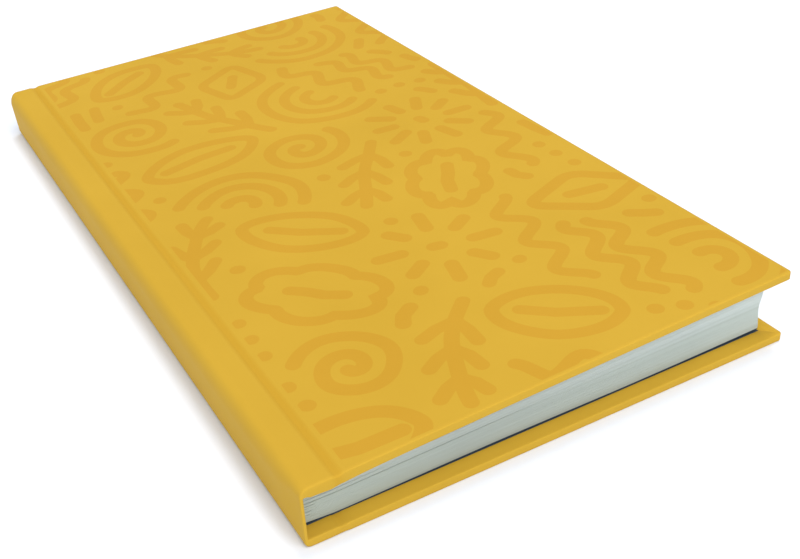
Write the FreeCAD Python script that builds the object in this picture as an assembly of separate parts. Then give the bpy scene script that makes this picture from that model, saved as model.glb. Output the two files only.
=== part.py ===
import FreeCAD, Part
import math
import os

# A slim case-bound notebook lying closed on its back cover. Units are millimetres.
# While it is built, x runs from the spine's outer face to the fore-edge, y from
# tail to head, and z up from the underside. Every solid is then moved so that the
# origin is the centre of the underside.
#
# The case is two greyboard covers, two narrow greyboard hinge strips and a thin
# spine card, all wrapped in one sheet of cover paper. The sheet is turned in over
# head, tail and fore-edge, and pressed into a shallow groove between each strip
# and its cover. The groove is the cover's hinge. The text block opens a little
# towards the fore-edge, so the front of the case slopes up from the spine.

# ---- driving dimensions ----
WIDTH = 117.3            # spine's outer face to fore-edge of the covers
HEIGHT = 216.0           # tail to head of the covers
SPINE_T = 14.0           # thickness at the spine, to the sharp corner
TILT = 2.0               # slope of the front cover, degrees, rising to the fore-edge

PAPER = 0.20             # cover paper
BOARD = 1.60             # greyboard of the covers and hinge strips
CARD = 0.25              # spine card
END_T = 0.15             # endpaper
TURN_IN = 12.0           # how far the cover paper is folded in

SQUARE_TAIL = 3.5        # covers stand past the pages at head and tail
SQUARE_FORE = 3.9        # and at the fore-edge
LIE = 0.20               # air between pastedown and flyleaf

SPINE_R_TOP = 2.0        # outer rounding of the spine's upper edge
SPINE_R_BOT = 1.3        # and of its lower edge

HINGE_U = 7.7            # groove's middle, from the spine's outer face
GROOVE_HALF = 1.2        # half its width at the surface
GROOVE_FLOOR = 0.5       # half its width at the floor
GROOVE_D = 0.6           # its depth
EDGE_HALF = 1.0          # board edges stand this far from the groove's middle
AXIS_OUT = 0.2           # the hinge axis lies this far outside the surface
HINGE_GAP = 0.15         # the sheets are divided this far each side of the axis

EDGE_R_OUT = 0.8         # rounding of the covers' outer arrises
EDGE_R_IN = 0.4          # and inner arrises
PLAN_R = 0.9             # rounding of the covers' corners, seen from above

LINING_T = 0.30          # cloth lining on the block's spine
LINING_X = 1.0           # its outer face
BLOCK_X = 1.3            # the block's spine face
FORE_HOLLOW = 0.65       # how far the fore-edge is hollowed
BLOCK_R = 0.8            # rounding of the block's long spine corners

SHELL = PAPER + BOARD + PAPER                    # cover with its turn-in
BLOCK_N = SHELL + END_T + LIE + END_T            # depth of the pages below the outer surface
A = math.radians(TILT)
W, H = WIDTH, HEIGHT
V = FreeCAD.Vector

NODES = {}


def box(u0, u1, y0, y1, n0, n1):
    return Part.makeBox(u1 - u0, y1 - y0, n1 - n0, V(u0, y0, n0))


def prism(points, y0, y1):
    """A flat polygon in the x-z plane, drawn out along y."""
    pts = [V(x, y0, z) for x, z in points]
    face = Part.Face(Part.makePolygon(pts + [pts[0]]))
    return face.extrude(V(0, y1 - y0, 0))


def one(shape):
    """The shape as one clean solid."""
    s = shape.removeSplitter()
    if s.ShapeType != "Solid":
        solids = s.Solids
        if len(solids) != 1:
            raise ValueError("expected one solid, got %d" % len(solids))
        s = solids[0]
    return s


def to_top(shape):
    """A piece built for the underside, carried over to the sloping front."""
    s = shape.mirror(V(0, 0, 0), V(0, 0, 1))
    s.rotate(V(0, 0, 0), V(0, 1, 0), -TILT)
    s.translate(V(0, 0, SPINE_T))
    return s


def top_point(u, n):
    """x and z of a point n below the front's outer surface, u along it."""
    return (u * math.cos(A) + n * math.sin(A), SPINE_T + u * math.sin(A) - n * math.cos(A))


def edges_where(solid, test):
    found = []
    for e in solid.Edges:
        b = e.BoundBox
        if test(b):
            found.append(e)
    return found


def near(a, b):
    return abs(a - b) < 1e-5


def rounded_plate(u0, u1, y0, y1, n0, n1, r_plan, r_out, r_in, profile=None):
    """A plate with rounded fore-edge corners, a rounded outer arris (n0) and inner arris (n1) on head, tail and fore-edge."""
    s = prism(profile, y0, y1) if profile else box(u0, u1, y0, y1, n0, n1)
    up = edges_where(s, lambda b: near(b.XMin, u1) and near(b.XMax, u1) and b.ZLength > 0.5 and b.YLength < 1e-5)
    s = s.makeFillet(r_plan, up)
    for r, n in ((r_out, n0), (r_in, n1)):
        flat = edges_where(s, lambda b: near(b.ZMin, n) and near(b.ZMax, n)
                           and (near(b.XMax, u1) or near(b.YMin, y0) and near(b.YMax, y0) or near(b.YMin, y1) and near(b.YMax, y1)
                                or b.XMin > u1 - r_plan - 1e-5)
                           and not (near(b.XMax, b.XMin) and b.XMax < u1 - 1))
        s = s.makeFillet(r, flat)
    return s


# ---- one cover, built for the underside ----

u_b = HINGE_U + EDGE_HALF                        # board's hinge edge
u_s = HINGE_U - EDGE_HALF                        # strip's hinge edge

board = rounded_plate(u_b, W - PAPER, PAPER, H - PAPER, PAPER, PAPER + BOARD,
                      PLAN_R - PAPER, EDGE_R_OUT - PAPER, EDGE_R_IN - PAPER)

wrap_profile = [
    (HINGE_U + HINGE_GAP, GROOVE_D),
    (HINGE_U + GROOVE_FLOOR, GROOVE_D),
    (HINGE_U + GROOVE_HALF, 0),
    (W, 0),
    (W, SHELL),
    (u_b - PAPER, SHELL),
    (u_b - PAPER, GROOVE_D + 2 * PAPER),
    (HINGE_U + HINGE_GAP, GROOVE_D + 2 * PAPER),
]
wrap = rounded_plate(HINGE_U + HINGE_GAP, W, 0, H, 0, SHELL, PLAN_R, EDGE_R_OUT, EDGE_R_IN, wrap_profile)
wrap = wrap.cut(board)
# between the head and tail turn-ins the paper lies on the outside only
wrap = wrap.cut(box(HINGE_U, W - TURN_IN, TURN_IN, H - TURN_IN, PAPER + BOARD, SHELL + 1))
wrap = wrap.cut(box(HINGE_U, u_b, TURN_IN, H - TURN_IN, GROOVE_D + PAPER, SHELL + 1))
cover_paper = one(wrap)

# pastedown: let down between the turn-ins, up over them at head, tail and fore-edge,
# and round the board's hinge edge into the groove
y0, y1 = SQUARE_TAIL, H - SQUARE_TAIL
u_p = u_b - PAPER - END_T
f = W - SQUARE_FORE
e = 0.05
tray = box(u_p, W - TURN_IN - e, TURN_IN + e, H - TURN_IN - e, PAPER + BOARD, PAPER + BOARD + END_T)
frame = box(u_p, f, y0, y1, SHELL, SHELL + END_T).cut(
    box(u_p - 1, W - TURN_IN - e - END_T, TURN_IN + e + END_T, H - TURN_IN - e - END_T, 0, 9))
step = box(u_p, W - TURN_IN - e, TURN_IN + e, H - TURN_IN - e, PAPER + BOARD, SHELL + END_T).cut(
    box(u_p - 1, W - TURN_IN - e - END_T, TURN_IN + e + END_T, H - TURN_IN - e - END_T, 0, 9))
lip = box(u_p, u_p + END_T, y0, y1, GROOVE_D + 2 * PAPER, SHELL + END_T).cut(
    box(u_p - 1, u_p + 1, TURN_IN + e + END_T, H - TURN_IN - e - END_T, PAPER + BOARD + END_T, 9))
inlet = box(HINGE_U + HINGE_GAP, u_p + END_T, y0, y1, GROOVE_D + 2 * PAPER, GROOVE_D + 2 * PAPER + END_T)
pastedown = one(tray.fuse([frame, step, lip, inlet]))

# flyleaf: the other half of the endpaper, tipped to the block, and up the strip's hinge edge into the groove
leaf = box(BLOCK_X + BLOCK_R, f, y0, y1, BLOCK_N - END_T, BLOCK_N)
riser = box(u_s + PAPER, u_s + PAPER + END_T, y0, y1, GROOVE_D + 2 * PAPER, BLOCK_N)
tongue = box(u_s + PAPER, HINGE_U - HINGE_GAP, y0, y1, GROOVE_D + 2 * PAPER, GROOVE_D + 2 * PAPER + END_T)
flyleaf = one(leaf.fuse([riser, tongue]))

NODES["back_board"] = board.copy()
NODES["cover_paper_back"] = cover_paper.copy()
NODES["back_pastedown"] = pastedown.copy()
NODES["back_flyleaf"] = flyleaf.copy()
NODES["front_board"] = to_top(board)
NODES["cover_paper_front"] = to_top(cover_paper)
NODES["front_pastedown"] = to_top(pastedown)
NODES["front_flyleaf"] = to_top(flyleaf)


# ---- the spine ----

def outline(d, x_end, ya, yb):
    """The case's cross-section from the spine to x_end, everything d inside its outer surface, drawn out along y."""
    rt, rb = SPINE_R_TOP - d, SPINE_R_BOT - d
    # centre of the upper arc touches the vertical face and the sloping front
    cx = SPINE_R_TOP
    cz = SPINE_T + cx * math.tan(A) - SPINE_R_TOP / math.cos(A)
    bx = bz = SPINE_R_BOT

    def at(px, pz):
        return V(px, ya, pz)

    t_end = at(cx - rt * math.sin(A), cz + rt * math.cos(A))
    mid = math.radians(135) + A / 2
    t_mid = at(cx + rt * math.cos(mid), cz + rt * math.sin(mid))
    t_start = at(cx - rt, cz)
    b_start = at(bx - rb, bz)
    b_mid = at(bx - rb * math.sqrt(0.5), bz - rb * math.sqrt(0.5))
    b_end = at(bx, bz - rb)
    top_z = SPINE_T + x_end * math.tan(A) - d / math.cos(A)
    edges = [
        Part.LineSegment(at(x_end, d), b_end).toShape(),
        Part.Arc(b_end, b_mid, b_start).toShape(),
        Part.LineSegment(b_start, t_start).toShape(),
        Part.Arc(t_start, t_mid, t_end).toShape(),
        Part.LineSegment(t_end, at(x_end, top_z)).toShape(),
        Part.LineSegment(at(x_end, top_z), at(x_end, d)).toShape(),
    ]
    face = Part.Face(Part.Wire(edges))
    return face.extrude(V(0, yb - ya, 0))


def under_front(n, ya, yb, u0=-20.0, u1=150.0, n1=60.0):
    """Everything from n to n1 below the front's outer surface, between u0 and u1 along it."""
    return to_top(box(u0, u1, ya, yb, n, n1))


def cavity(dw, ds, x_end, ya, yb):
    """The space inside: dw inside the spine's wall and ds inside the two flat sides."""
    s = outline(dw, x_end, ya, yb)
    s = s.common(under_front(ds, ya - 1, yb + 1))
    return s.common(box(-20, 150, ya - 1, yb + 1, ds, 60))


X_CUT = 30.0
core = outline(PAPER, X_CUT, PAPER, H - PAPER).cut(cavity(PAPER + CARD, PAPER + BOARD, X_CUT, PAPER, H - PAPER))
back_side = box(-5, u_s, -5, H + 5, 0, PAPER + BOARD)
front_side = to_top(box(-5, u_s, -5, H + 5, 0, PAPER + BOARD))
NODES["back_hinge_strip"] = one(core.common(back_side))
NODES["front_hinge_strip"] = one(core.common(front_side))
middle = core.common(box(-5, 5, -5, H + 5, PAPER + BOARD, 60)).common(under_front(PAPER + BOARD, -5, H + 5, u1=5.0))
NODES["spine_card"] = one(middle)

# the cover paper over the spine and both strips, out to the middle of each groove
xe = HINGE_U - HINGE_GAP
skin = outline(0, X_CUT, 0, H)
skin = skin.cut(cavity(PAPER + CARD + PAPER, SHELL, X_CUT, 0, H))
for inner in ("back_hinge_strip", "front_hinge_strip", "spine_card"):
    skin = skin.cut(NODES[inner])
# no turn-in between head and tail
mid_cav = cavity(PAPER + CARD, PAPER + BOARD, X_CUT, TURN_IN, H - TURN_IN)
skin = skin.cut(mid_cav)
for carry in (lambda s: s, to_top):
    keep_out = [
        # past the groove's middle
        box(xe, 60, -5, H + 5, -1, SHELL + 0.6),
        # the groove itself, outside
        prism([(xe + 1, -1), (xe + 1, GROOVE_D), (HINGE_U - GROOVE_FLOOR, GROOVE_D), (HINGE_U - GROOVE_HALF, 0), (HINGE_U - GROOVE_HALF, -1)], -5, H + 5),
        # the hollow under the groove, inside
        box(u_s + PAPER, 60, -5, H + 5, GROOVE_D + 2 * PAPER, SHELL + 0.6),
        box(u_s, 60, TURN_IN, H - TURN_IN, GROOVE_D + PAPER, SHELL + 0.6),
    ]
    for k in keep_out:
        skin = skin.cut(carry(k))
NODES["cover_paper_spine"] = one(skin)

# cloth lining glued round the block's spine and under both strips
ly0, ly1 = SQUARE_TAIL + 4.0, H - SQUARE_TAIL - 4.0


def block_like(x0, n, x_end, ya, yb, r):
    """A wedge between the two flat sides, n inside both, with rounded spine corners."""
    p = [(x0, n), (x_end, n), (x_end, SPINE_T + x_end * math.tan(A) - n / math.cos(A)),
         (x0, SPINE_T + x0 * math.tan(A) - n / math.cos(A))]
    s = prism(p, ya, yb)
    es = edges_where(s, lambda b: near(b.XMin, x0) and near(b.XMax, x0) and b.YLength > 10)
    return s.makeFillet(r, es)


lining = block_like(LINING_X, SHELL + 0.05, u_s - 0.1, ly0, ly1, 1.0).cut(
    block_like(BLOCK_X, BLOCK_N - END_T, u_s + 5, ly0 - 1, ly1 + 1, BLOCK_R))
NODES["spine_lining"] = one(lining)

# ---- the pages ----
x_f = W - SQUARE_FORE
zt = SPINE_T + x_f * math.tan(A) - BLOCK_N / math.cos(A)
zm = (zt + BLOCK_N) / 2
low = V(x_f, y0, BLOCK_N)
high = V(x_f, y0, zt)
z_s = SPINE_T + BLOCK_X * math.tan(A) - BLOCK_N / math.cos(A)
face = Part.Face(Part.Wire([
    Part.LineSegment(V(BLOCK_X, y0, BLOCK_N), low).toShape(),
    Part.Arc(low, V(x_f - FORE_HOLLOW, y0, zm), high).toShape(),
    Part.LineSegment(high, V(BLOCK_X, y0, z_s)).toShape(),
    Part.LineSegment(V(BLOCK_X, y0, z_s), V(BLOCK_X, y0, BLOCK_N)).toShape(),
]))
pages = face.extrude(V(0, y1 - y0, 0))
corner = edges_where(pages, lambda b: near(b.XMin, BLOCK_X) and near(b.XMax, BLOCK_X) and b.YLength > 10)
pages = pages.makeFillet(BLOCK_R, corner)
NODES["page_block"] = one(pages)

# ---- write every piece ----
os.makedirs("parts", exist_ok=True)
for name in sorted(NODES):
    s = NODES[name]
    s.translate(V(-W / 2, -H / 2, 0))
    if not s.isValid() or s.Volume <= 0:
        raise ValueError(name + " is not a valid solid")
    s.exportStep("parts/" + name + ".step")
    b = s.BoundBox
    print("%-20s %9.1f mm3  x %.2f %.2f  y %.2f %.2f  z %.2f %.2f  faces %d" % (
        name, s.Volume, b.XMin, b.XMax, b.YMin, b.YMax, b.ZMin, b.ZMax, len(s.Faces)))
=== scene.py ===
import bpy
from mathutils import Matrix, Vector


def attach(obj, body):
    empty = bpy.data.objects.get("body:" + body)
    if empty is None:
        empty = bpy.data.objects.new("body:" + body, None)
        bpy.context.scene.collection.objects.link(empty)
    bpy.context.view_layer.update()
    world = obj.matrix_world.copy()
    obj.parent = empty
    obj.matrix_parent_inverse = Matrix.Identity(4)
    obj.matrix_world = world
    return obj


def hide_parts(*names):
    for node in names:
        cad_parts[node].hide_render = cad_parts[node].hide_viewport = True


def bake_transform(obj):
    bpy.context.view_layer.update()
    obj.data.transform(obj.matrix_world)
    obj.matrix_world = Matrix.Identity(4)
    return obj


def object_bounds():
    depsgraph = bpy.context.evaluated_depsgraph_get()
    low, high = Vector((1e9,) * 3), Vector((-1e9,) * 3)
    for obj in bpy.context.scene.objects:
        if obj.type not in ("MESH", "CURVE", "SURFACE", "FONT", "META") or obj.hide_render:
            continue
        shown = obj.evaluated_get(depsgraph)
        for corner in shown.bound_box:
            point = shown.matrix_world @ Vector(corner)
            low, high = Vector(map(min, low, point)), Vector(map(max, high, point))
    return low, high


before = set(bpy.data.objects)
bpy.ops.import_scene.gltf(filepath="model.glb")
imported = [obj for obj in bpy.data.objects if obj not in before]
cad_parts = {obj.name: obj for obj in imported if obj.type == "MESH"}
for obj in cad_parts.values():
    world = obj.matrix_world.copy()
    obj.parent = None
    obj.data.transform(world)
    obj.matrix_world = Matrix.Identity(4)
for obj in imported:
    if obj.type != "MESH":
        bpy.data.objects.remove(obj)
CAD_LO, CAD_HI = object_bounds()
CAD_LO, CAD_HI = list(CAD_LO), list(CAD_HI)

import math

import bmesh
import bpy
import numpy as np
from mathutils import Matrix, Vector, geometry

# ---------------------------------------------------------------------------
# The notebook's case frame, in millimetres: x from the spine's outer face to the
# fore-edge, y from tail to head, z up from the underside. u and n are measured
# along and below the outer surface of a cover. MM turns it into the row frame.
# ---------------------------------------------------------------------------
MM = 0.001
W = (CAD_HI[0] - CAD_LO[0]) / MM
H = (CAD_HI[1] - CAD_LO[1]) / MM
SPINE_T = 14.0
A = math.radians(2.0)
CA, SA, TA = math.cos(A), math.sin(A), math.tan(A)

PAPER, SHELL = 0.20, 2.00
END_T, BLOCK_N = 0.15, 2.50
SQ_TAIL, SQ_FORE = 3.5, 3.9
HINGE_U, GROOVE_VIS = 7.7, 0.36
R_TOP, R_BOT = 2.0, 1.3
WALL = 0.65
R_END = 0.45               # head and tail rounding of the spine and its strips
U0 = 9.4                 # where the flat of the cover begins
R_OUT, R_IN, R_PLAN = 0.32, 0.30, 0.9
TURN = 12.0
SEAM_Z = 6.4
BLOCK_X, BLOCK_R, HOLLOW = 1.3, 0.8, 0.65


def front(u, n):
    return (u * CA + n * SA, SPINE_T + u * SA - n * CA)


def back(u, n):
    return (u, n)


def rowco(p):
    """Case frame to row frame, metres."""
    p = np.asarray(p, float)
    return np.stack([(p[..., 0] - W / 2), (p[..., 1] - H / 2), p[..., 2]], -1) * MM


def smooth01(t):
    t = np.clip(t, 0, 1)
    return t * t * t * (t * (6 * t - 15) + 10)


# ---------------------------------------------------------------------------
# Mesh building
# ---------------------------------------------------------------------------
class Net:
    def __init__(self):
        self.v, self.f, self.m = [], [], []

    def grid(self, rows, mat=0, closed=False):
        """rows: array (R, C, 3). Quads between neighbouring rows."""
        rows = np.asarray(rows, float)
        base, (r, c) = len(self.v), rows.shape[:2]
        self.v.extend(map(tuple, rows.reshape(-1, 3)))
        last = c if closed else c - 1
        for i in range(r - 1):
            for j in range(last):
                k = (j + 1) % c
                a, b, d, e = base + i * c + j, base + i * c + k, base + (i + 1) * c + k, base + (i + 1) * c + j
                self.f.append((a, b, d, e))
                self.m.append(mat)

    def fan(self, pts, mat=0):
        base = len(self.v)
        self.v.extend(map(tuple, pts))
        self.f.append(tuple(range(base, base + len(pts))))
        self.m.append(mat)

    def tris(self, pts, tri, mats):
        base = len(self.v)
        self.v.extend(map(tuple, pts))
        for t, k in zip(tri, mats):
            self.f.append(tuple(base + i for i in t))
            self.m.append(int(k))

    def build(self, name, mats, up=None, merge=0.0006, sharp=42, thick=None, outward=None):
        """up: (point, normal) that tells which way the faces look."""
        me = bpy.data.meshes.new(name)
        me.from_pydata([tuple(p) for p in rowco(np.array(self.v))], [], self.f)
        me.polygons.foreach_set("material_index", self.m)
        bm = bmesh.new()
        bm.from_mesh(me)
        bmesh.ops.remove_doubles(bm, verts=bm.verts, dist=merge * MM)
        bmesh.ops.dissolve_degenerate(bm, edges=bm.edges, dist=merge * 0.5 * MM)
        loose = [v for v in bm.verts if not v.link_faces]
        bmesh.ops.delete(bm, geom=loose, context="VERTS")
        bmesh.ops.recalc_face_normals(bm, faces=bm.faces)
        if up is not None:
            p, d = Vector(rowco(np.array(up[0]))), Vector(up[1])
            near = min(bm.faces, key=lambda f: (f.calc_center_median() - p).length)
            if near.normal.dot(d) < 0:
                bmesh.ops.reverse_faces(bm, faces=bm.faces)
        bm.to_mesh(me)
        bm.free()
        ob = bpy.data.objects.new(name, me)
        bpy.context.scene.collection.objects.link(ob)
        for m in mats:
            me.materials.append(m)
        if thick:
            mod = ob.modifiers.new("thick", "SOLIDIFY")
            mod.thickness = thick * MM
            mod.offset = -1
            mod.use_even_offset = False
            mod.use_quality_normals = True
            bpy.context.view_layer.update()
            dg = bpy.context.evaluated_depsgraph_get()
            new = bpy.data.meshes.new_from_object(ob.evaluated_get(dg))
            ob.modifiers.clear()
            ob.data = new
            bpy.data.meshes.remove(me)
            new.name = name
            me = new
        me.shade_smooth()
        me.set_sharp_from_angle(angle=math.radians(sharp))
        return ob


def inside(points, loop):
    """Which points lie inside a closed polygon."""
    x, y = points[:, 0], points[:, 1]
    hit = np.zeros(len(points), bool)
    a, b = loop, np.roll(loop, -1, 0)
    for (x0, y0), (x1, y1) in zip(a, b):
        if y0 == y1:
            continue
        cross = ((y0 > y) != (y1 > y)) & (x < (x1 - x0) * (y - y0) / (y1 - y0) + x0)
        hit ^= cross
    return hit


def triangulate(loops, lines=()):
    """Delaunay triangles of the plane with closed loops and open lines kept as edges."""
    pts, edges = [], []
    for loop in loops:
        b, n = len(pts), len(loop)
        pts.extend(Vector((float(p[0]), float(p[1]))) for p in loop)
        edges.extend((b + i, b + (i + 1) % n) for i in range(n))
    for line in lines:
        b, n = len(pts), len(line)
        pts.extend(Vector((float(p[0]), float(p[1]))) for p in line)
        edges.extend((b + i, b + i + 1) for i in range(n - 1))
    v, _, f, _, _, _ = geometry.delaunay_2d_cdt(pts, edges, [], 0, 1e-4)
    v = np.array([(p.x, p.y) for p in v])
    f = np.array([tuple(t) for t in f])
    return v, f


# ---------------------------------------------------------------------------
# The printed pattern: loose strokes with round ends, all over the front
# ---------------------------------------------------------------------------
STROKE = 1.7


def arc(cx, cy, r, a0, a1, step=0.9):
    n = max(6, int(abs(a1 - a0) * r / step))
    t = np.linspace(a0, a1, n + 1)
    return np.stack([cx + r * np.cos(t), cy + r * np.sin(t)], 1)


def wave(L, amp, per, ph):
    x = np.linspace(-L / 2, L / 2, int(L / 0.7) + 1)
    return [(np.stack([x, amp * np.sin(2 * math.pi * x / per + ph)], 1), False)]


def twin_wave(L, amp, per, gap):
    out = []
    for s in (-0.5, 0.5):
        x = np.linspace(-L / 2 + (2 if s > 0 else 0), L / 2 - (0 if s > 0 else 3), int(L / 0.7) + 1)
        out.append((np.stack([x, s * gap + amp * np.sin(2 * math.pi * x / per)], 1), False))
    return out


def rainbow(r, n, pitch, span):
    h = math.radians(span / 2)
    return [(arc(0, -r, r + i * pitch, math.pi / 2 - h, math.pi / 2 + h), False) for i in range(n)]


def spiral(turns, pitch, r0):
    t = np.linspace(0, turns * 2 * math.pi, int(turns * 60))
    r = r0 + pitch * t / (2 * math.pi)
    return [(np.stack([r * np.cos(t), r * np.sin(t)], 1), False)]


def sun(rays, r1, r2):
    out = [(np.array([[-0.9, 0.0], [0.9, 0.1]]), False)]
    for i in range(rays):
        a = 2 * math.pi * i / rays
        e = r2 - (1.2 if i % 2 else 0)
        out.append((np.array([[r1 * math.cos(a), r1 * math.sin(a)], [e * math.cos(a), e * math.sin(a)]]), False))
    return out


def flower(petals, r, pr):
    out = [(np.array([[-0.6, 0.0], [0.6, 0.1]]), False)]
    for i in range(petals):
        a = 2 * math.pi * i / petals
        c, s = math.cos(a), math.sin(a)
        out.append((np.array([[(r - pr) * c, (r - pr) * s], [(r + pr) * c, (r + pr) * s]]), False))
    return out


def sprig(L, pairs, blade, bend):
    x = np.linspace(-L / 2, L / 2, int(L / 0.9) + 1)
    out = [(np.stack([x, bend * (1 - (2 * x / L) ** 2)], 1), False)]
    for k in range(pairs):
        px = -L / 2 + L * (k + 0.75) / (pairs + 0.55)
        py = bend * (1 - (2 * px / L) ** 2)
        sl = math.atan2(-8 * bend * px / (L * L), 1)
        e = blade * (1 - 0.10 * k)
        for sgn in (-1, 1):
            a = sl + sgn * math.radians(48)
            m = a - sgn * math.radians(7)
            out.append((np.array([[px, py], [px + 0.5 * e * math.cos(a), py + 0.5 * e * math.sin(a)],
                                  [px + e * math.cos(m), py + e * math.sin(m)]]), False))
    return out


def leaf(L, wd):
    t = np.linspace(0, 2 * math.pi, 84)[:-1]
    x = -L / 2 * np.cos(t)
    y = wd / 2 * np.sign(np.sin(t)) * np.abs(np.sin(t)) ** 1.25
    return [(np.stack([x, y], 1), True), (np.array([[-L * 0.335, 0], [0, 0.5], [L * 0.275, 0]]), False)]


def cloud(R, humps, bump):
    t = np.linspace(0, 2 * math.pi, 150)[:-1]
    r = R + bump * (np.abs(np.sin(humps * t / 2)) ** 0.8 - 0.6)
    return [(np.stack([1.25 * r * np.cos(t), 0.8 * r * np.sin(t)], 1), True),
            (np.array([[-6.5, 0.0], [-2.2, 0.3], [2.0, -0.3], [6.5, 0.2]]), False)]


def diamond(w, h):
    pts, c = [], [(w, 0), (0, h), (-w, 0), (0, -h)]
    for i in range(4):
        a, b, d = np.array(c[i - 1], float), np.array(c[i], float), np.array(c[(i + 1) % 4], float)
        p, q = b + (a - b) * 0.22, b + (d - b) * 0.22
        for t in np.linspace(0, 1, 7):
            pts.append((1 - t) ** 2 * p + 2 * t * (1 - t) * b + t * t * q)
    return [(np.array(pts), True), (np.array([[0, -h * 0.28], [0, h * 0.28]]), False)]


def rain(n, L, pitch, slant):
    out = []
    for i in range(n):
        e = L * (1.0 if i % 2 else 0.72)
        x = (i - (n - 1) / 2) * pitch
        y = slant * i * 0.4
        out.append((np.array([[x - slant / 2, y - e / 2], [x, y], [x + slant / 2, y + e / 2]]), False))
    return out


def dots(n, pitch, bend):
    out = []
    for i in range(n):
        x, y = (i - (n - 1) / 2) * pitch, bend * (i - (n - 1) / 2) ** 2
        out.append((np.array([[x - 0.12, y], [x + 0.12, y]]), False))
    return out


def dot():
    return [(np.array([[-0.15, 0], [0.15, 0.0]]), False)]


def dash(L, bend):
    return [(np.array([[-L / 2, 0], [0, bend], [L / 2, 0]]), False)]


SHAPES = {"wave": wave, "twin_wave": twin_wave, "rainbow": rainbow, "spiral": spiral, "sun": sun, "flower": flower,
          "sprig": sprig, "leaf": leaf, "cloud": cloud, "diamond": diamond, "rain": rain, "dots": dots, "dot": dot,
          "dash": dash}

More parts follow.
